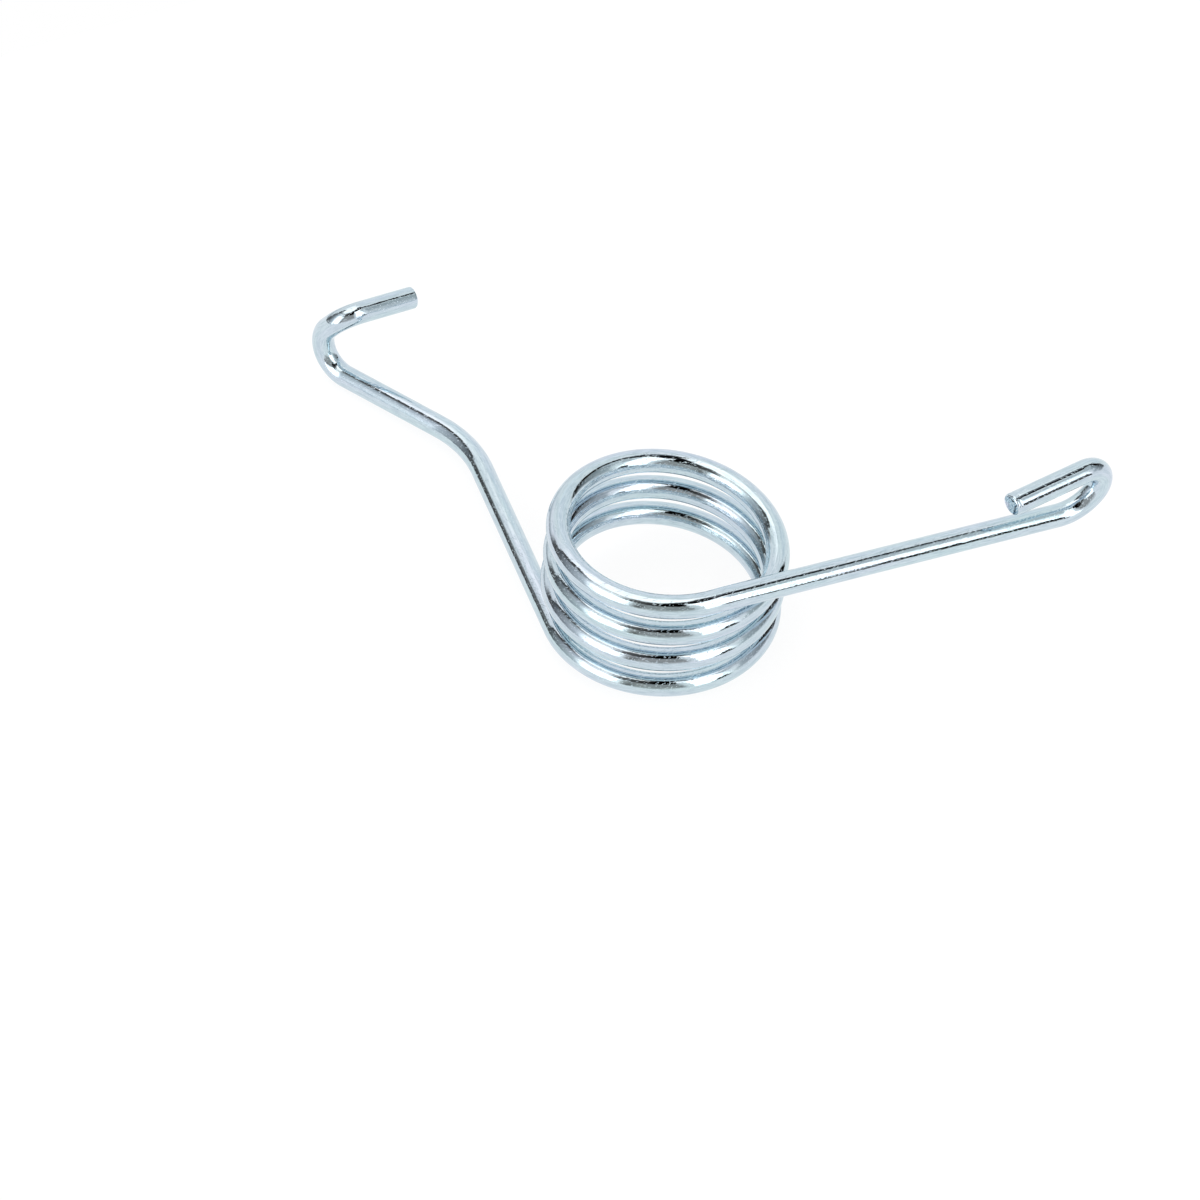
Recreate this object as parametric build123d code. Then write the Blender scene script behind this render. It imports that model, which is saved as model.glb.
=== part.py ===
from build123d import *
import math
import os

# Return spring: a torsion spring bent from one length of round steel wire, lying as it comes to rest.
# Sizes are in millimetres and degrees. The wire is wound and bent round a coil that stands on +Z,
# then the whole spring leans over to rest on its last turn and the far end of its lower arm.

# Wire
wire_diameter = 3.0
end_rounding = 0.35

# Coil: open wound, right-handed
coil_bore = 24.5
coil_gap = 1.64
coil_full_turn_count = 3
coil_part_turn_angle = 94.9

# Each leg of an arm has the inside radius of the bend that leads into it, a turn (seen from above,
# plus to the left of the leg before it), a rise from the plane of the coil (past 90 it folds back
# over the leg before it), and a straight length before the next bend, or 0 where bend meets bend.

# Upper arm, from the coil outwards, ending in a hook that folds back over the arm
upper_lead_radius = 18.5
upper_arm_rise_angle = -1.0
upper_arm_length = 45.7
upper_riser_radius = 4.4
upper_riser_turn_angle = 6.6
upper_riser_rise_angle = 56.2
upper_riser_length = 0
upper_return_radius = 1.4
upper_return_turn_angle = 0.8
upper_return_rise_angle = 185.6
upper_return_length = 10.9

# Lower arm, from the coil outwards, with a dog-leg and a raised end that crosses over sideways
lower_lead_radius = 18.5
lower_arm_rise_angle = -1.7
lower_arm_length = 29.3
lower_dogleg_radius = 17.0
lower_dogleg_turn_angle = 31.8
lower_dogleg_rise_angle = -6.2
lower_dogleg_length = 16.3
lower_riser_radius = 2.5
lower_riser_turn_angle = 2.4
lower_riser_rise_angle = 126.0
lower_riser_length = 1.6
lower_tip_radius = 1.4
lower_tip_turn_angle = -108.9
lower_tip_rise_angle = -6.5
lower_tip_length = 8.2

# How the spring leans when it lies at rest
lean_angle_about_x = 1.89
lean_angle_about_y = 5.73

wire_radius = wire_diameter / 2
coil_radius = (coil_bore + wire_diameter) / 2
coil_pitch = wire_diameter + coil_gap
coil_turn_count = coil_full_turn_count + coil_part_turn_angle / 360
coil_height = coil_pitch * coil_turn_count


def heading_of(direction):
    """Angle of a direction seen from above, in degrees."""
    return math.degrees(math.atan2(direction.Y, direction.X))


def leg_direction(heading, rise):
    """Unit vector of a leg from its heading seen from above and its rise."""
    turn, lift = math.radians(heading), math.radians(rise)
    return Vector(math.cos(turn) * math.cos(lift), math.sin(turn) * math.cos(lift), math.sin(lift))


def section(at, direction, side=None):
    """The wire's round section, facing along the wire, with its own x axis to one side."""
    return Plane(origin=at, x_dir=side, z_dir=direction) * Circle(wire_radius)


def coil_path():
    """The coil's centre line, climbing to where the upper arm leaves it along +X."""
    climb = Helix(pitch=coil_pitch, height=coil_height, radius=coil_radius)
    return Rot(Z=-90 - 360 * coil_turn_count) * climb


def coil(path):
    """The open-wound turns."""
    return sweep(section(path @ 0, path % 0), path=path, is_frenet=True)


def bend(at, direction, next_direction, inside_radius):
    """A round bend from one direction to the next, with the point where it ends."""
    radius = inside_radius + wire_radius
    hinge = direction.cross(next_direction).normalized()
    inwards = hinge.cross(direction)
    centre = at + inwards * radius
    angle = direction.get_angle(next_direction)
    solid = revolve(section(at, direction, hinge), Axis(centre, hinge), angle)
    return solid, centre - hinge.cross(next_direction) * radius


def straight(at, direction, length, free_end):
    """A straight stretch of wire. A free end is cut square and its rim rounded."""
    solid = extrude(section(at, direction), length)
    if free_end:
        rim = solid.edges().filter_by(GeomType.CIRCLE).sort_by(Axis(at, direction))[-1]
        solid = fillet(rim, end_rounding)
    return solid, at + direction * length


def arm(at, direction, legs):
    """Bends and straights in turn, from the coil to the free end."""
    heading = heading_of(direction)
    pieces = []
    for number, (inside_radius, turn, rise, length) in enumerate(legs, start=1):
        heading = heading + turn
        next_direction = leg_direction(heading, rise)
        curve, at = bend(at, direction, next_direction, inside_radius)
        pieces.append(curve)
        if length > 0:
            run, at = straight(at, next_direction, length, free_end=number == len(legs))
            pieces.append(run)
        direction = next_direction
    return pieces


def upper_arm(at, direction):
    return arm(at, direction, [
        (upper_lead_radius, 0, upper_arm_rise_angle, upper_arm_length),
        (upper_riser_radius, upper_riser_turn_angle, upper_riser_rise_angle, upper_riser_length),
        (upper_return_radius, upper_return_turn_angle, upper_return_rise_angle, upper_return_length),
    ])


def lower_arm(at, direction):
    return arm(at, direction, [
        (lower_lead_radius, 0, lower_arm_rise_angle, lower_arm_length),
        (lower_dogleg_radius, lower_dogleg_turn_angle, lower_dogleg_rise_angle, lower_dogleg_length),
        (lower_riser_radius, lower_riser_turn_angle, lower_riser_rise_angle, lower_riser_length),
        (lower_tip_radius, lower_tip_turn_angle, lower_tip_rise_angle, lower_tip_length),
    ])


def spring():
    """The whole wire as one solid, round a coil that stands on +Z."""
    path = coil_path()
    wire = coil(path)
    for piece in upper_arm(path @ 1, path % 1) + lower_arm(path @ 0, (path % 0) * -1):
        wire = wire + piece
    return wire


def at_rest(wire):
    """Leans the spring over and slides it along its coil's axis until it stands on the floor."""
    lean = Rot(X=lean_angle_about_x) * Rot(Y=lean_angle_about_y)
    leaning = lean * wire
    coil_axis = (lean * Pos(0, 0, 1)).position
    climb = -leaning.bounding_box().min.Z / coil_axis.Z
    return Pos(*(coil_axis * climb)) * leaning


os.makedirs("parts", exist_ok=True)
return_spring = at_rest(spring())
return_spring.label = "return_spring"
export_step(return_spring, "parts/return_spring.step")
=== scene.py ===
import math

import bmesh
import bpy
from mathutils import Euler, Matrix, Vector, noise


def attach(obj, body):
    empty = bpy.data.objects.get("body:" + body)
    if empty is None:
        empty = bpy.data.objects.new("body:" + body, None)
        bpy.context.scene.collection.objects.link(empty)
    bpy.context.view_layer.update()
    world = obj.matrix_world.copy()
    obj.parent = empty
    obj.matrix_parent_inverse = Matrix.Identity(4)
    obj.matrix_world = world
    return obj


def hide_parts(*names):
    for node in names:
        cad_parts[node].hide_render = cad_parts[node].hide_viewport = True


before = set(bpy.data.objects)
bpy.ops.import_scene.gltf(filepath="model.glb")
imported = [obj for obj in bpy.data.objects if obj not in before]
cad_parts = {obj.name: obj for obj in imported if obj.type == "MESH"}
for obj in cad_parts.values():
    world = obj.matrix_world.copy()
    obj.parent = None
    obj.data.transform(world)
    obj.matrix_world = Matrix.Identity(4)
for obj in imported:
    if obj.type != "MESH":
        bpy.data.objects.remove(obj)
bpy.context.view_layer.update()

# Return spring: zinc-plated spring wire, coiled and bent, in a white light tent.
# The wire is modelled in millimetres round a coil that stands on +Z, then leaned over as it rests
# and brought to metres.

mm = 0.001
scene = bpy.context.scene
scene.view_settings.view_transform = "Standard"


def colour(code):
    # an sRGB hex colour as linear red, green, blue and alpha
    parts = [int(code[at:at + 2], 16) / 255 for at in (1, 3, 5)]
    linear = [p / 12.92 if p <= 0.04045 else ((p + 0.055) / 1.055) ** 2.4 for p in parts]
    return (*linear, 1.0)


def addNode(tree, kind, settings=None, inputs=None):
    # inputs are values or the sockets of other nodes, by socket name or number
    node = tree.nodes.new(kind)
    for name, value in (settings or {}).items():
        setattr(node, name, value)
    for name, value in (inputs or {}).items():
        if isinstance(value, bpy.types.NodeSocket):
            tree.links.new(value, node.inputs[name])
        else:
            node.inputs[name].default_value = value
    return node


# The camera

photoCamera = {
    "place": (-142.488, -328.937, 385.971),  # mm
    "heading": 67.737,  # degrees, from +X towards +Y
    "down": 46.902,
    "roll": -1.77,
    "lens": 125.55,
    "sensor": 36.0,
    "clip": (0.02, 20.0),  # m
}


def addCamera():
    spec = photoCamera
    data = bpy.data.cameras.new("photoCamera")
    data.lens = spec["lens"]
    data.sensor_width = spec["sensor"]
    data.clip_start, data.clip_end = spec["clip"]
    camera = bpy.data.objects.new("photoCamera", data)
    tilt, heading = math.radians(90 - spec["down"]), math.radians(spec["heading"] - 90)
    roll = Matrix.Rotation(math.radians(spec["roll"]), 3, "Z")
    aim = Euler((tilt, 0, heading), "XYZ").to_matrix() @ roll
    camera.matrix_world = Matrix.Translation(Vector(spec["place"]) * mm) @ aim.to_4x4()
    scene.collection.objects.link(camera)
    scene.camera = camera


addCamera()
print("camera in place")

# The wire, in mm and degrees. Places on it are mm along it from the coil's lower end, less than 0
# on the lower arm, and degrees round it, 0 outwards from the coil and -90 up.
springWire = {
    "diameter": 3.0,
    "endRounding": 0.35,
    "coilBore": 24.5,
    "coilGap": 1.64,
    "fullTurns": 3,
    "partTurn": 94.9,
    # from the coil outwards: inside radius of the bend, turn, rise, straight length
    "upperLegs": [
        (18.5, 0, -1.0, 45.7),
        (4.4, 6.6, 56.2, 0),
        (1.4, 0.8, 185.6, 10.9),
    ],
    "lowerLegs": [
        (18.5, 0, -1.7, 29.3),
        (17.0, 31.8, -6.2, 16.3),
        (2.5, 2.4, 126.0, 1.6),
        (1.4, -108.9, -6.5, 8.2),
    ],
    "leanAboutX": 1.89,
    "leanAboutY": 5.73,

    # the mesh
    "sides": 52,
    "ringSpacing": 0.3,
    "bendStep": 4.0,  # between rings at most
    "endRun": 2.4,  # closer rings towards a cut end, for its marks
    "endSpacing": 0.1,
    "roundingRings": 5,
    "faceRings": (0.92, 0.82, 0.7, 0.58, 0.46, 0.34, 0.22, 0.1),  # in shares of the flat's radius
    "faceSquareness": 0.97,  # how square to the wire a facet of the cut face is, of 1
    "weld": 0.001,

    # how far the drawn and coiled wire strays from a true round
    "waves": {"height": 0.005, "along": 7.0, "around": 1.1},
    # the ring squeezed in by the upper end's shear
    "shearGroove": {
        "fromEnd": 0.62, "halfWidth": 0.09, "depth": 0.025, "evenness": 0.9, "wander": 0.15,
        "wavesPerMm": 1.1},
    "rimBurr": {"fromEnd": 0.25, "reach": 0.35, "height": 0.05, "grain": 0.3},
    # the cut faces lean, and are torn from a line short of their middle as far as a crack
    "cutSlant": 0.09,  # mm per mm across
    "faceDepth": 0.002,  # what lies this near the end is on the cut face
    "tear": {"start": -0.45, "run": 0.25, "depth": 0.1, "grain": 0.16},
    # the crack is farther off upwards than outwards, and beyond it the rim broke off at a slant
    "crack": {"start": 0.72, "halfWidth": 0.07, "depth": 0.12, "rise": 0.15, "breakSlope": 0.25},
    # nicks from the bending tool and from handling: place along and round the wire, half length,
    # half width and depth, then how far it slants in mm along per mm round
    "nickReach": 2.0,  # past which a nick isn't felt
    "nicks": [
        (315.6, -41, 0.35, 0.12, 0.035, 0.9),
        (308.1, -52, 0.12, 0.28, 0.02, 0.0),
        (220.9, -48, 0.16, 0.5, 0.03, 0.5),
        (221.7, -60, 0.14, 0.45, 0.03, -0.6),
        (232.2, -140, 0.1, 0.5, 0.02, 0.4),
        (230.2, -152, 0.1, 0.35, 0.016, -0.5),
        (352.0, 84, 0.22, 0.2, 0.04, 0.0),
        (334.2, -90, 0.3, 0.35, 0.05, 0.6),
        (335.0, -84, 0.14, 0.5, 0.04, 0.5),
        (336.3, -84, 0.2, 0.5, 0.035, 0.4),
        (332.6, -58, 0.5, 0.22, 0.04, 0.8),
        (333.5, -48, 0.3, 0.3, 0.045, 0.0),
        (349.1, 96, 0.5, 0.12, 0.02, 0.1),
        (345.6, 92, 0.4, 0.1, 0.02, -0.1),
        (341.9, 66, 0.16, 0.3, 0.06, 0.5),
        (341.3, 74, 0.18, 0.3, 0.07, -0.4),
        (340.6, 64, 0.16, 0.24, 0.07, 0.3),
        (341.5, 57, 0.12, 0.14, 0.05, 0.0),
        (340.8, 49, 0.12, 0.14, 0.08, 0.0),
    ],
}


def joinRun(wire, run):
    mesh = bpy.data.meshes.new("run")
    run.to_mesh(mesh)
    run.free()
    wire.from_mesh(mesh)
    bpy.data.meshes.remove(mesh)


def addRun(
        wire, place, along, length, sense, angle=0.0, axis=(0, 0, 1), centre=(0, 0, 0),
        drift=(0, 0, 0), spacing=springWire["ringSpacing"]):
    # one even run of the wire, spun from a ring set in place, in a mesh of its own for speed;
    # sense is 1 away from the coil's lower end and -1 towards the lower arm's tip
    spec = springWire
    sides = spec["sides"]
    steps = max(1, math.ceil(length / spacing), math.ceil(math.degrees(angle) / spec["bendStep"]))
    run = bmesh.new()
    wireSpace = run.verts.layers.float_vector.new("wireSpace")
    ring = bmesh.ops.create_circle(
        run, cap_ends=False, segments=sides, radius=spec["diameter"] / 2)["verts"]
    for vert in ring:
        vert[wireSpace] = vert.co.zxy
    bmesh.ops.transform(run, matrix=place, verts=ring)
    bmesh.ops.spin(
        run, geom=run.verts[:] + run.edges[:], cent=centre, axis=axis,
        dvec=Vector(drift) / steps, angle=angle, steps=steps, use_merge=False, use_duplicate=False)
    for number, vert in enumerate(run.verts):
        vert[wireSpace].x = along + sense * length * (number // sides) / steps
    joinRun(wire, run)
    turn = (
        Matrix.Translation(centre) @ Matrix.Rotation(angle, 4, axis)
        @ Matrix.Translation(-Vector(centre)))
    return Matrix.Translation(drift) @ turn @ place, along + sense * length


def closeEnd(wire, place, along, sense):
    # a rounded rim, then the sheared face in rings to the middle
    spec = springWire
    wireRadius, rounding = spec["diameter"] / 2, spec["endRounding"]
    profile = [(wireRadius, 0.0)]
    for step in range(1, spec["roundingRings"] + 1):
        angle = math.radians(90 * step / spec["roundingRings"])
        profile.append((wireRadius - rounding * (1 - math.cos(angle)), rounding * math.sin(angle)))
    for share in spec["faceRings"]:
        profile.append(((wireRadius - rounding) * share, rounding))
    run = bmesh.new()
    wireSpace = run.verts.layers.float_vector.new("wireSpace")
    bmesh.ops.create_circle(run, cap_ends=False, segments=spec["sides"], radius=wireRadius)
    ring = run.verts[:] + run.edges[:]
    for (size, reach), (nextSize, nextReach) in zip(profile, profile[1:]):
        spun = bmesh.ops.spin(
            run, geom=ring, cent=(0, 0, 0), axis=(0, 0, 1),
            dvec=(0, 0, sense * (nextReach - reach)), angle=0.0, steps=1,
            use_merge=False, use_duplicate=False)
        ring = spun["geom_last"]
        factor = nextSize / size
        ringVerts = [part for part in ring if isinstance(part, bmesh.types.BMVert)]
        bmesh.ops.scale(run, vec=(factor, factor, 1), verts=ringVerts)
    ringEdges = [part for part in ring if isinstance(part, bmesh.types.BMEdge)]
    cap = bmesh.ops.edgeloop_fill(run, edges=ringEdges)
    bmesh.ops.poke(run, faces=cap["faces"])
    run.normal_update()
    for face in run.faces:
        if abs(face.normal.z) > spec["faceSquareness"]:
            face.material_index = 1  # the sheared end's finish
    for vert in run.verts:
        vert[wireSpace] = (along + vert.co.z, vert.co.x, vert.co.y)
        vert.co.z -= vert.co.z / rounding * spec["cutSlant"] * vert.co.x
    bmesh.ops.transform(run, matrix=place, verts=run.verts)
    joinRun(wire, run)


def coilLength():
    spec = springWire
    circle = math.pi * (spec["coilBore"] + spec["diameter"])
    pitch = spec["diameter"] + spec["coilGap"]
    return (spec["fullTurns"] + spec["partTurn"] / 360) * math.hypot(pitch, circle)


def legDirection(heading, rise):
    turn, lift = math.radians(heading), math.radians(rise)
    return Vector((
        math.cos(turn) * math.cos(lift), math.sin(turn) * math.cos(lift), math.sin(lift)))


def addArm(wire, place, sense, at, direction, legs):
    # bends and straights in turn from the coil, then the cut end
    spec = springWire
    heading = math.degrees(math.atan2(direction.y, direction.x))
    along = 0.0 if sense < 0 else coilLength()
    for number, (insideRadius, turn, rise, length) in enumerate(legs, start=1):
        heading += turn
        nextDirection = legDirection(heading, rise)
        radius = insideRadius + spec["diameter"] / 2
        hinge = direction.cross(nextDirection).normalized()
        centre = at + hinge.cross(direction) * radius
        angle = direction.angle(nextDirection)
        place, along = addRun(
            wire, place, along, radius * angle, sense, angle=angle, axis=hinge, centre=centre)
        at = centre - hinge.cross(nextDirection) * radius
        if number == len(legs):
            length -= spec["endRun"]
        if length > 0:
            place, along = addRun(wire, place, along, length, sense, drift=nextDirection * length)
            at = at + nextDirection * length
        direction = nextDirection
    length = spec["endRun"] - spec["endRounding"]
    place, along = addRun(
        wire, place, along, length, sense, drift=direction * length, spacing=spec["endSpacing"])
    closeEnd(wire, place, along, sense)


def strayFromRound(run, side, height, ends):
    # how far the surface stands off a true round wire with a square end
    spec = springWire
    waves = spec["waves"]
    spot = Vector((run / waves["along"], side / waves["around"], height / waves["around"]))
    offset = waves["height"] * noise.noise(spot)

    fromEnd = min(run - ends[0], ends[1] - run)
    if fromEnd < spec["endRun"]:
        burr = spec["rimBurr"]
        bump = noise.noise(Vector((run, side, height)) / burr["grain"])
        near = max(0.0, 1 - abs(fromEnd - burr["fromEnd"]) / burr["reach"])
        offset += burr["height"] * bump * near
        if run > 0:
            groove = spec["shearGroove"]
            ragged = noise.noise(Vector((side, height, run)) * groove["wavesPerMm"])
            aside = fromEnd - groove["fromEnd"] - groove["wander"] * ragged
            depth = groove["depth"] * (groove["evenness"] + ragged)
            offset -= depth * math.exp(-(aside / groove["halfWidth"]) ** 2)
    if fromEnd < spec["faceDepth"]:
        tear, crack = spec["tear"], spec["crack"]
        across = max(side, height - crack["rise"])
        torn = min(1.0, max(0.0, (across - tear["start"]) / tear["run"]))
        grain = noise.noise(Vector((side, height, 0.0)) / tear["grain"])
        offset -= tear["depth"] * torn * (0.5 + 0.5 * grain)
        offset -= crack["depth"] * math.exp(-((across - crack["start"]) / crack["halfWidth"]) ** 2)
        offset -= crack["breakSlope"] * max(0.0, across - crack["start"])

    around = math.degrees(math.atan2(height, side))
    for place, nickAround, length, width, depth, slant in spec["nicks"]:
        if abs(run - place) < spec["nickReach"]:
            turn = (around - nickAround + 180) % 360 - 180
            across = math.radians(turn) * spec["diameter"] / 2
            aside = run - place - slant * across
            offset -= depth * math.exp(-(aside / length) ** 2 - (across / width) ** 2)
    return offset


def buildSpringWire():
    spec = springWire
    coilRadius = (spec["coilBore"] + spec["diameter"]) / 2
    pitch = spec["diameter"] + spec["coilGap"]
    turns = spec["fullTurns"] + spec["partTurn"] / 360
    slope = math.degrees(math.atan2(pitch, 2 * math.pi * coilRadius))
    wire = bmesh.new()
    wire.verts.layers.float_vector.new("wireSpace")

    # the coil's lower end, where the wire climbs to the left round +Z
    startAngle = math.radians(-90) - 2 * math.pi * turns
    outwards = Vector((math.cos(startAngle), math.sin(startAngle), 0))
    forwards = legDirection(math.degrees(startAngle) + 90, slope)
    facing = Matrix((outwards, forwards.cross(outwards), forwards)).transposed().to_4x4()
    start = outwards * coilRadius
    lowerPlace = place = Matrix.Translation(start) @ facing

    along, left = 0.0, turns
    while left > 0:
        turn = min(1, left)
        place, along = addRun(
            wire, place, along, coilLength() * turn / turns, 1,
            angle=2 * math.pi * turn, drift=(0, 0, pitch * turn))
        left -= turn
    top = Vector((0, -coilRadius, pitch * turns))
    addArm(wire, place, 1, top, legDirection(0, slope), spec["upperLegs"])
    addArm(wire, lowerPlace, -1, start, -forwards, spec["lowerLegs"])
    bmesh.ops.remove_doubles(wire, verts=wire.verts, dist=spec["weld"])
    bmesh.ops.recalc_face_normals(wire, faces=wire.faces)

    # the surface as drawn, coiled, cut and handled
    wire.normal_update()
    wireSpace = wire.verts.layers.float_vector["wireSpace"]
    places = [vert[wireSpace].x for vert in wire.verts]
    ends = min(places), max(places)
    for vert in wire.verts:
        vert.co += vert.normal * strayFromRound(*vert[wireSpace], ends)

    # leaned over, then slid along the coil's axis until it stands on the floor
    lean = (
        Matrix.Rotation(math.radians(spec["leanAboutX"]), 4, "X")
        @ Matrix.Rotation(math.radians(spec["leanAboutY"]), 4, "Y"))
    bmesh.ops.transform(wire, matrix=lean, verts=wire.verts)
    coilAxis = lean @ Vector((0, 0, 1))
    lowest = min(vert.co.z for vert in wire.verts)
    bmesh.ops.translate(wire, vec=coilAxis * (-lowest / coilAxis.z), verts=wire.verts)
    bmesh.ops.scale(wire, vec=(mm, mm, mm), verts=wire.verts)

    mesh = bpy.data.meshes.new("springWire")
    wire.to_mesh(mesh)
    wire.free()
    mesh.shade_smooth()
    piece = bpy.data.objects.new("springWire", mesh)
    scene.collection.objects.link(piece)
    return piece


wirePiece = buildSpringWire()
wireMesh = wirePiece.data
print("spring wire:", len(wireMesh.vertices), "vertices,", len(wireMesh.polygons), "faces")

# The plating
# Drawn spring steel, bright zinc plated and blue passivated: a cool white mirror that is faintly
# blue, with fine die lines along the wire, small pits in the plating, thin milky clouds and a
# passivate that drifts to lilac and green.
zincPlating = {
    "zinc": "#CBDAE2",
    "lilacPassivate": "#CED9E5",
    "greenPassivate": "#C7DBE0",
    "cloud": "#ADC0CC",
    "cloudShare": 0.7,  # at most
    "roughness": (0.01, 0.035),  # off the die lines, on them
    # mm along and round the wire, degrees off its run, noise detail and roughness
    "patterns": {
        "drift": (16.0, 1.6, 0, 2.0, 0.5),
        "clouds": (1.6, 0.22, 0, 4.0, 0.65),
        # the real die lines and pits are several times finer, and are coarser here to show
        "dieLines": (5.0, 0.6, 0, 3.0, 0.6),
        "pits": (0.4, 0.16, 0, 2.0, 0.5),
        "scuffs": (1.4, 0.14, 32.0, 2.0, 0.5),
    },
    # where in a pattern's 0 to 1 each of these starts and is full
    "lilacFrom": (0.5, 0.68),
    "greenFrom": (0.5, 0.32),
    "cloudFrom": (0.4, 0.7),
    "scuffFrom": (0.63, 0.7),
    "glossFrom": (0.35, 0.7),
    # mm
    "lineDepth": 0.008,
    "pitDepth": 0.005,
    "scuffDepth": 0.012,
}


def startZincMaterial(name, patterns):
    # a metal, with its place on the wire and the patterns laid along the wire and round it
    material = bpy.data.materials.new(name)
    material.use_nodes = True
    tree = material.node_tree
    tree.nodes["Principled BSDF"].inputs["Metallic"].default_value = 1.0
    wireSpace = addNode(tree, "ShaderNodeAttribute", {"attribute_name": "wireSpace"})
    sockets = {"place": wireSpace.outputs["Vector"]}
    for pattern, (along, around, slant, detail, roughness) in patterns.items():
        laid = addNode(tree, "ShaderNodeMapping", {"vector_type": "TEXTURE"}, {
            "Vector": sockets["place"], "Rotation": (0, 0, -math.radians(slant)),
            "Scale": (along, around, around)})
        sockets[pattern] = addNode(tree, "ShaderNodeTexNoise", None, {
            "Vector": laid.outputs["Vector"], "Scale": 1.0,
            "Detail": detail, "Roughness": roughness}).outputs["Fac"]
    return material, sockets


def makeZincPlatedDrawnWire():
    spec = zincPlating
    material, marks = startZincMaterial("zincPlatedDrawnWire", spec["patterns"])
    tree = material.node_tree
    shader = tree.nodes["Principled BSDF"]

    # the passivate's tint, then the clouds
    tone = colour(spec["zinc"])
    for pattern, limits, full, code in [
        ("drift", "lilacFrom", 1.0, "lilacPassivate"),
        ("drift", "greenFrom", 1.0, "greenPassivate"),
        ("clouds", "cloudFrom", spec["cloudShare"], "cloud"),
    ]:
        start, end = spec[limits]
        share = addNode(tree, "ShaderNodeMapRange", None, {
            "Value": marks[pattern], "From Min": start, "From Max": end, "To Max": full})
        tone = addNode(tree, "ShaderNodeMix", {"data_type": "RGBA"}, {
            "Factor": share.outputs["Result"],
            "A": tone, "B": colour(spec[code])}).outputs["Result"]
    tree.links.new(tone, shader.inputs["Base Color"])

    # die lines along the wire, pits, and sparse scuffs from handling that slant across it
    start, end = spec["scuffFrom"]
    scuffs = addNode(tree, "ShaderNodeMapRange", None, {
        "Value": marks["scuffs"], "From Min": start, "From Max": end}).outputs["Result"]
    inputs = {}
    for height, depth in [
        (marks["dieLines"], "lineDepth"), (marks["pits"], "pitDepth"), (scuffs, "scuffDepth"),
    ]:
        bump = addNode(tree, "ShaderNodeBump", None, {
            "Strength": 1.0, "Distance": spec[depth] * mm, "Height": height, **inputs})
        inputs = {"Normal": bump.outputs["Normal"]}
    tree.links.new(inputs["Normal"], shader.inputs["Normal"])

    start, end = spec["glossFrom"]
    gloss = addNode(tree, "ShaderNodeMapRange", None, {
        "Value": marks["dieLines"], "From Min": start, "From Max": end,
        "To Min": spec["roughness"][0], "To Max": spec["roughness"][1]})
    tree.links.new(gloss.outputs["Result"], shader.inputs["Roughness"])
    return material


# The cut ends of the same wire: sheared smooth at first, then torn in steel grains that the zinc
# turned blue and bright, with a crack cut into the face, so satin, sparkling and black in turn
# across the face. The black along the crack is painted shade, and the hollows between the grains
# are a bluer zinc darkened with painted shade.
shearedEnd = {
    "zinc": "#D8E2F2",
    "grainZinc": "#E6F8FF",
    # a bluer zinc in the hollows between the torn grains, darkened with painted shade
    "pitZincWithPaintedShade": "#7FA9C6",
    # painted shade: the shadow inside the crack, as a near-black colour along it
    "crack": "#10171C",
    "roughness": (0.25, 0.65),  # sheared, torn
    # as for the plating
    "patterns": {
        "grains": (0.13, 0.13, 0, 3.0, 0.6),
        "wander": (0.5, 0.5, 0, 3.0, 0.6),
    },
    "grainDepth": 0.04,  # mm
    "wander": 0.9,  # mm that the tear and the crack stray at most
    "tearSoftness": 0.3,  # mm
    # how wide the painted shade along the crack is
    "crackShadeWidth": (2.5, 1.0),  # where it starts and is full, in its half widths
    # where the painted shade in the hollows between grains starts and is full
    "pitShadeFrom": (0.52, 0.44),
    # where grains bridge the painted shade along the crack
    "crackShadeFrom": (0.37, 0.49),
}


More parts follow.
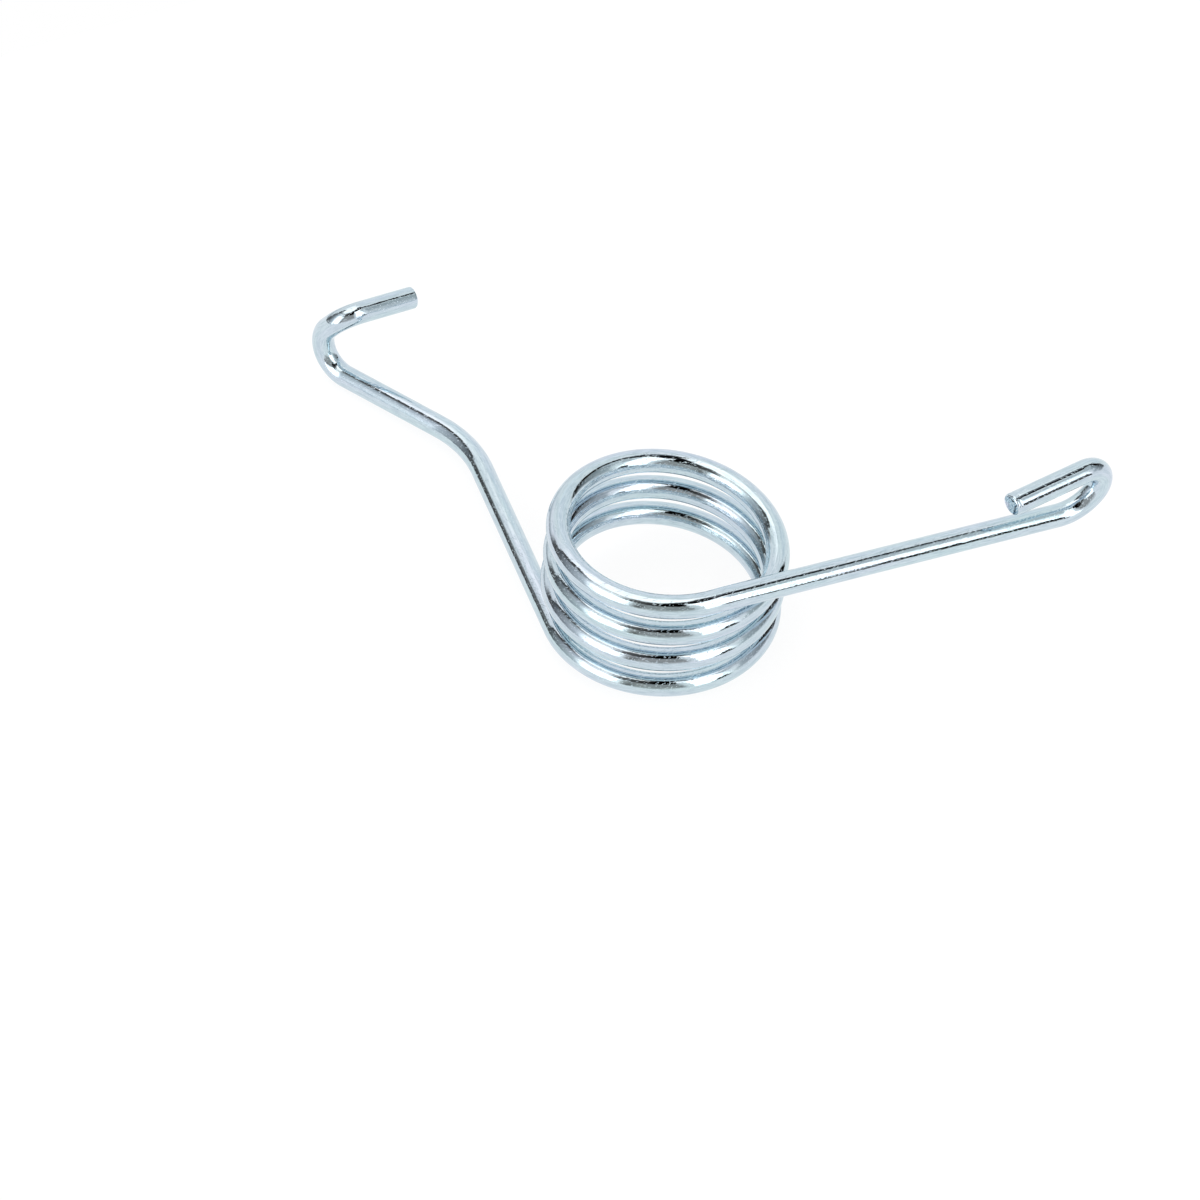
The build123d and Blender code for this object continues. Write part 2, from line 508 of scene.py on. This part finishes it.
def makeZincPlatedShearedEnd():
    spec, tear, crack = shearedEnd, springWire["tear"], springWire["crack"]
    material, marks = startZincMaterial("zincPlatedShearedEnd", spec["patterns"])
    tree = material.node_tree
    shader = tree.nodes["Principled BSDF"]

    # how far across the face, as in the wire's own shape, then made to wander
    axes = addNode(tree, "ShaderNodeSeparateXYZ", None, {"Vector": marks["place"]})
    lowered = addNode(tree, "ShaderNodeMath", {"operation": "SUBTRACT"}, {
        0: axes.outputs["Z"], 1: crack["rise"]})
    across = addNode(tree, "ShaderNodeMath", {"operation": "MAXIMUM"}, {
        0: axes.outputs["Y"], 1: lowered.outputs["Value"]})
    ragged = addNode(tree, "ShaderNodeMath", {"operation": "MULTIPLY_ADD"}, {
        0: marks["wander"], 1: spec["wander"], 2: across.outputs["Value"]}).outputs["Value"]
    tearStart = tear["start"] + spec["wander"] / 2
    crackStart = crack["start"] + spec["wander"] / 2

    # the torn face: bright zinc on the grains, and painted shade in the hollows between them
    start, end = spec["pitShadeFrom"]
    pitShadeShare = addNode(tree, "ShaderNodeMapRange", None, {
        "Value": marks["grains"], "From Min": start, "From Max": end})
    torn = addNode(tree, "ShaderNodeMix", {"data_type": "RGBA"}, {
        "Factor": pitShadeShare.outputs["Result"],
        "A": colour(spec["grainZinc"]), "B": colour(spec["pitZincWithPaintedShade"])})
    tornShare = addNode(tree, "ShaderNodeMapRange", None, {
        "Value": ragged, "From Min": tearStart, "From Max": tearStart + spec["tearSoftness"]})
    tone = addNode(tree, "ShaderNodeMix", {"data_type": "RGBA"}, {
        "Factor": tornShare.outputs["Result"],
        "A": colour(spec["zinc"]), "B": torn.outputs["Result"]})

    # painted shade along the crack, as a near-black colour, broken where a grain bridges it
    offCrack = addNode(tree, "ShaderNodeMath", {"operation": "SUBTRACT"}, {
        0: ragged, 1: crackStart})
    offCrack = addNode(tree, "ShaderNodeMath", {"operation": "ABSOLUTE"}, {
        0: offCrack.outputs["Value"]})
    start, end = [share * crack["halfWidth"] for share in spec["crackShadeWidth"]]
    crackShadeShare = addNode(tree, "ShaderNodeMapRange", None, {
        "Value": offCrack.outputs["Value"], "From Min": start, "From Max": end})
    start, end = spec["crackShadeFrom"]
    brokenCrackShade = addNode(tree, "ShaderNodeMapRange", None, {
        "Value": marks["grains"], "From Min": start, "From Max": end,
        "To Max": crackShadeShare.outputs["Result"]})
    tone = addNode(tree, "ShaderNodeMix", {"data_type": "RGBA"}, {
        "Factor": brokenCrackShade.outputs["Result"],
        "A": tone.outputs["Result"], "B": colour(spec["crack"])})
    tree.links.new(tone.outputs["Result"], shader.inputs["Base Color"])

    bump = addNode(tree, "ShaderNodeBump", None, {
        "Strength": 1.0, "Distance": spec["grainDepth"] * mm, "Height": marks["grains"]})
    tree.links.new(bump.outputs["Normal"], shader.inputs["Normal"])
    gloss = addNode(tree, "ShaderNodeMapRange", None, {
        "Value": tornShare.outputs["Result"],
        "To Min": spec["roughness"][0], "To Max": spec["roughness"][1]})
    tree.links.new(gloss.outputs["Result"], shader.inputs["Roughness"])
    return material


wireMesh.materials.append(makeZincPlatedDrawnWire())
wireMesh.materials.append(makeZincPlatedShearedEnd())
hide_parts("return_spring")
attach(wirePiece, "root")
print("plating done")

# The light tent
# Directions are in degrees: around is counted from the camera's side, to the left as seen from
# above, and up from the floor. Each panel has its edges, how soft they are, and its glow from left
# to right, where 1 shows a white card. Its left and right edges can lean, and its ends climb to
# the left. An overhead panel lies flat in the roof instead, with around as percent of the roof's
# height towards the camera's side and up as percent to the left of it.
lightTent = {
    "cameraSide": 247.7,  # degrees from +X
    "card": "#FFFFFF",
    "panels": [
        # the roof cloth, lit from above
        {"around": (-200, 200), "up": (56, 100), "lean": (0.06, 0), "climb": 0.04,
         "softSides": (1, 1), "softEnds": (22, 1), "glow": (1.7, 1.8), "tint": "#FFF9F6"},
        # the foot of the backdrop in the shade, left
        {"around": (-200, -116.5), "up": (-3, 17.5), "lean": (0.04, 0.2), "climb": 0.07,
         "softSides": (1, 3.5), "softEnds": (2, 16), "glow": (1.26, 0.35), "tint": "#FAFCFF"},
        # and right
        {"around": (128.5, 200), "up": (-3, 29), "lean": (-0.05, 0), "climb": 0.06,
         "softSides": (6, 1), "softEnds": (2, 8.5), "glow": (0.94, 1.1), "tint": "#FAFCFF"},
        # the gap between the left softbox and the backdrop
        {"around": (-109, -66.5), "up": (-4, 60.5), "lean": (-0.41, -0.39), "climb": 0.04,
         "softSides": (1, 16), "softEnds": (8, 1), "glow": (0.05, 0.83), "tint": "#F6FAFF"},
        # its black far edge
        {"around": (-121, -106), "up": (-1, 34.5), "lean": (-0.31, -0.48), "climb": 0.05,
         "softSides": (16, 8.5), "softEnds": (6, 11), "glow": (0, 0.18), "tint": "#FFFAF6"},
        # the same edge, leaning out higher up
        {"around": (-110.5, -145.5), "up": (36, 58), "lean": (-0.48, 0.68), "climb": 0,
         "softSides": (1, 5), "softEnds": (1.5, 2.5), "glow": (0.1, 0.1), "tint": "#FFFAF6"},
        # the left softbox
        {"around": (-67, -35.5), "up": (3, 52), "lean": (-0.23, 0.04), "climb": 0.1,
         "softSides": (16, 11), "softEnds": (4, 1), "glow": (2.3, 2.4), "tint": "#FFFFFF"},
        # the dark seam over it
        {"around": (-115.5, -38.5), "up": (67, 71.5), "lean": (0.06, 0), "climb": 0.15,
         "softSides": (6, 2), "softEnds": (8, 13), "glow": (0.28, 0.29), "tint": "#FFFAF6"},
        # the grey card on the camera's side
        {"around": (-32.5, 21.5), "up": (3, 59.5), "lean": (0.02, 0), "climb": 0.2,
         "softSides": (11, 9.5), "softEnds": (29.5, 4), "glow": (0.46, 0.36), "tint": "#FFFCF8"},
        # a darker fold in it
        {"around": (-30.5, -24.5), "up": (1, 52), "lean": (0.21, 0.08), "climb": 0.01,
         "softSides": (8, 12), "softEnds": (4, 6), "glow": (0.15, 0.03), "tint": "#FFF4EC"},
        # a lamp stand at its right
        {"around": (16, 20), "up": (12, 25.5), "lean": (0.12, -0.02), "climb": 0,
         "softSides": (2, 7), "softEnds": (3, 3), "glow": (0.2, 0.15), "tint": "#FFF8F2"},
        # the black hood round the lens
        {"around": (-50, -5), "up": (46.5, 75), "lean": (0.07, 0.5), "climb": 0.1,
         "softSides": (20, 4), "softEnds": (5, 12), "glow": (0.2, 0), "tint": "#FFF8F4"},
        # the right softbox
        {"around": (28, 57.5), "up": (1, 63), "lean": (0.05, 0.1), "climb": -0.07,
         "softSides": (1, 12), "softEnds": (12, 1.5), "glow": (2.4, 2.2), "tint": "#FFFFFF"},
        # the gap between the right softbox and the backdrop
        {"around": (61.5, 122), "up": (4, 64), "lean": (0.43, -0.24), "climb": 0.02,
         "softSides": (8, 11), "softEnds": (16, 16), "glow": (0.62, 0), "tint": "#F2F9FC"},
        # the lighter top of that gap
        {"around": (59.5, 117), "up": (43, 56), "lean": (0.08, -0.05), "climb": 0,
         "softSides": (1, 5), "softEnds": (1, 5), "glow": (0.71, 0.69), "tint": "#F6FAFC"},
        # its black far edge
        {"around": (110, 117.5), "up": (0.5, 57.5), "lean": (-0.05, 0.15), "climb": 0.02,
         "softSides": (6, 4), "softEnds": (4, 1), "glow": (0.1, 0), "tint": "#FFFAF6"},
        # the black beam across the roof
        {"overhead": True,
         "around": (-24, 36), "up": (15, 52), "lean": (0.32, -0.01), "climb": -0.51,
         "softSides": (9, 2), "softEnds": (9, 5), "glow": (0.04, 0), "tint": "#F4F6FF"},
        # its far end
        {"overhead": True,
         "around": (-36, 7), "up": (20, 58), "lean": (0, 0), "climb": 0,
         "softSides": (8, 8), "softEnds": (6, 9), "glow": (0.03, 0), "tint": "#FFF6EE"},
        # the dark top end of the right gap
        {"around": (98, 146), "up": (57, 68.5), "lean": (-0.08, -0.08), "climb": 0.02,
         "softSides": (3.5, 11.5), "softEnds": (1, 1), "glow": (0.04, 0.3), "tint": "#F4F6FF"},
        # the black edge over it
        {"around": (95, 121), "up": (58.5, 67.5), "lean": (-0.08, -0.08), "climb": 0,
         "softSides": (3, 5), "softEnds": (1, 3), "glow": (0, 0.02), "tint": "#FFFAF6"},
        # the dark rail under the right softbox
        {"around": (41.5, 60), "up": (-16, -3.5), "lean": (0, 0), "climb": 0.15,
         "softSides": (3, 3), "softEnds": (2, 2), "glow": (0.15, 0.05), "tint": "#FFF8F2"},
        # a stand in front of it
        {"around": (45.5, 57.5), "up": (0.5, 15.5), "lean": (0.22, 0), "climb": 0,
         "softSides": (1.5, 3), "softEnds": (1.5, 3), "glow": (0, 0.1), "tint": "#FFF8F2"},
    ],
}


def buildLightTent():
    spec = lightTent
    world = bpy.data.worlds.new("lightTent")
    scene.world = world
    world.use_nodes = True
    # light from all round needs no map of where it comes from
    world.cycles.sampling_method = "NONE"
    tree = world.node_tree
    direction = addNode(tree, "ShaderNodeTexCoord").outputs["Generated"]
    turned = addNode(tree, "ShaderNodeVectorRotate", {"rotation_type": "Z_AXIS"}, {
        "Vector": direction, "Angle": math.radians(-spec["cameraSide"])})
    axes = addNode(tree, "ShaderNodeSeparateXYZ", None, {"Vector": turned.outputs["Vector"]})
    aroundTurn = addNode(tree, "ShaderNodeMath", {"operation": "ARCTAN2"}, {
        0: axes.outputs["Y"], 1: axes.outputs["X"]})
    upTurn = addNode(tree, "ShaderNodeMath", {"operation": "ARCSINE"}, {0: axes.outputs["Z"]})
    sky = []
    for angle in aroundTurn, upTurn:
        sky.append(addNode(tree, "ShaderNodeMath", {"operation": "DEGREES"}, {
            0: angle.outputs["Value"]}).outputs["Value"])

    # where the direction meets the roof, in percent of its height
    roof = []
    for axis in "X", "Y":
        share = addNode(tree, "ShaderNodeMath", {"operation": "DIVIDE"}, {
            0: axes.outputs[axis], 1: axes.outputs["Z"]})
        roof.append(addNode(tree, "ShaderNodeMath", {"operation": "MULTIPLY"}, {
            0: share.outputs["Value"], 1: 100.0}).outputs["Value"])
    aloft = addNode(tree, "ShaderNodeMath", {"operation": "GREATER_THAN"}, {
        0: axes.outputs["Z"], 1: 0.0}).outputs["Value"]

    tone = colour(spec["card"])
    for panel in spec["panels"]:
        around, up = roof if panel.get("overhead") else sky
        left, right = panel["around"]
        bottom, top = panel["up"]
        # each edge: what it is measured on, what slants it and how much, its place and softness,
        # and the share of the panel before it and past it
        edges = [
            (around, up, panel["lean"][0], left, panel["softSides"][0], (0.0, 1.0)),
            (around, up, panel["lean"][1], right, panel["softSides"][1], (1.0, 0.0)),
            (up, around, panel["climb"], bottom, panel["softEnds"][0], (0.0, 1.0)),
            (up, around, panel["climb"], top, panel["softEnds"][1], (1.0, 0.0)),
        ]
        share = aloft if panel.get("overhead") else 1.0
        slanted = []
        for value, other, slant, at, softness, (before, past) in edges:
            if slant:
                value = addNode(tree, "ShaderNodeMath", {"operation": "MULTIPLY_ADD"}, {
                    0: other, 1: -slant, 2: value}).outputs["Value"]
            slanted.append(value)
            mask = addNode(tree, "ShaderNodeMapRange", {"interpolation_type": "SMOOTHSTEP"}, {
                "Value": value, "From Min": at - softness / 2, "From Max": at + softness / 2,
                "To Min": before, "To Max": past})
            share = addNode(tree, "ShaderNodeMath", {"operation": "MULTIPLY"}, {
                0: share, 1: mask.outputs["Result"]}).outputs["Value"]
        glow = addNode(tree, "ShaderNodeMapRange", None, {
            "Value": slanted[0], "From Min": left, "From Max": right,
            "To Min": panel["glow"][0], "To Max": panel["glow"][1]})
        lit = addNode(tree, "ShaderNodeVectorMath", {"operation": "SCALE"}, {
            0: colour(panel["tint"])[:3], "Scale": glow.outputs["Result"]})
        tone = addNode(tree, "ShaderNodeMix", {"data_type": "RGBA"}, {
            "Factor": share, "A": tone, "B": lit.outputs["Vector"]}).outputs["Result"]

    # the camera itself sees plain white
    path = addNode(tree, "ShaderNodeLightPath")
    seen = addNode(tree, "ShaderNodeMix", {"data_type": "RGBA"}, {
        "Factor": path.outputs["Is Camera Ray"], "A": tone, "B": colour(spec["card"])})
    tree.links.new(seen.outputs["Result"], tree.nodes["Background"].inputs["Color"])


buildLightTent()
print("light tent done")

# The floor
studioFloor = {
    "size": 0.28,  # m, so that what is level with the wire, or a little lower, shows in it
    "segments": 4,
    "paper": "#F4F5F6",
    "white": "#FFFFFF",
    "whiteLevel": 1.07,
    # how much of the paper shows as plain white, the rest takes the light and the shadow
    "whiteShare": 0.82,
}


def buildStudioFloor():
    spec = studioFloor
    sheet = bmesh.new()
    bmesh.ops.create_grid(
        sheet, x_segments=spec["segments"], y_segments=spec["segments"], size=spec["size"] / 2)
    mesh = bpy.data.meshes.new("studioFloor")
    sheet.to_mesh(mesh)
    sheet.free()
    floor = bpy.data.objects.new("studioFloor", mesh)
    scene.collection.objects.link(floor)

    # matt white paper, which shows as white to the lens and in the wire
    material = bpy.data.materials.new("mattWhitePaper")
    material.use_nodes = True
    tree = material.node_tree
    tree.nodes.remove(tree.nodes["Principled BSDF"])
    paper = addNode(tree, "ShaderNodeBsdfDiffuse", None, {"Color": colour(spec["paper"])})
    white = addNode(tree, "ShaderNodeEmission", None, {
        "Color": colour(spec["white"]), "Strength": spec["whiteLevel"]})
    path = addNode(tree, "ShaderNodeLightPath")
    seen = path.outputs["Is Camera Ray"]
    for ray in "Is Glossy Ray", "Is Transmission Ray":
        seen = addNode(tree, "ShaderNodeMath", {"operation": "MAXIMUM"}, {
            0: seen, 1: path.outputs[ray]}).outputs["Value"]
    share = addNode(tree, "ShaderNodeMath", {"operation": "MULTIPLY"}, {
        0: seen, 1: spec["whiteShare"]})
    mixed = addNode(tree, "ShaderNodeMixShader", None, {
        0: share.outputs["Value"], 1: paper.outputs["BSDF"], 2: white.outputs["Emission"]})
    tree.links.new(mixed.outputs["Shader"], tree.nodes["Material Output"].inputs["Surface"])
    mesh.materials.append(material)


buildStudioFloor()
print("floor done")
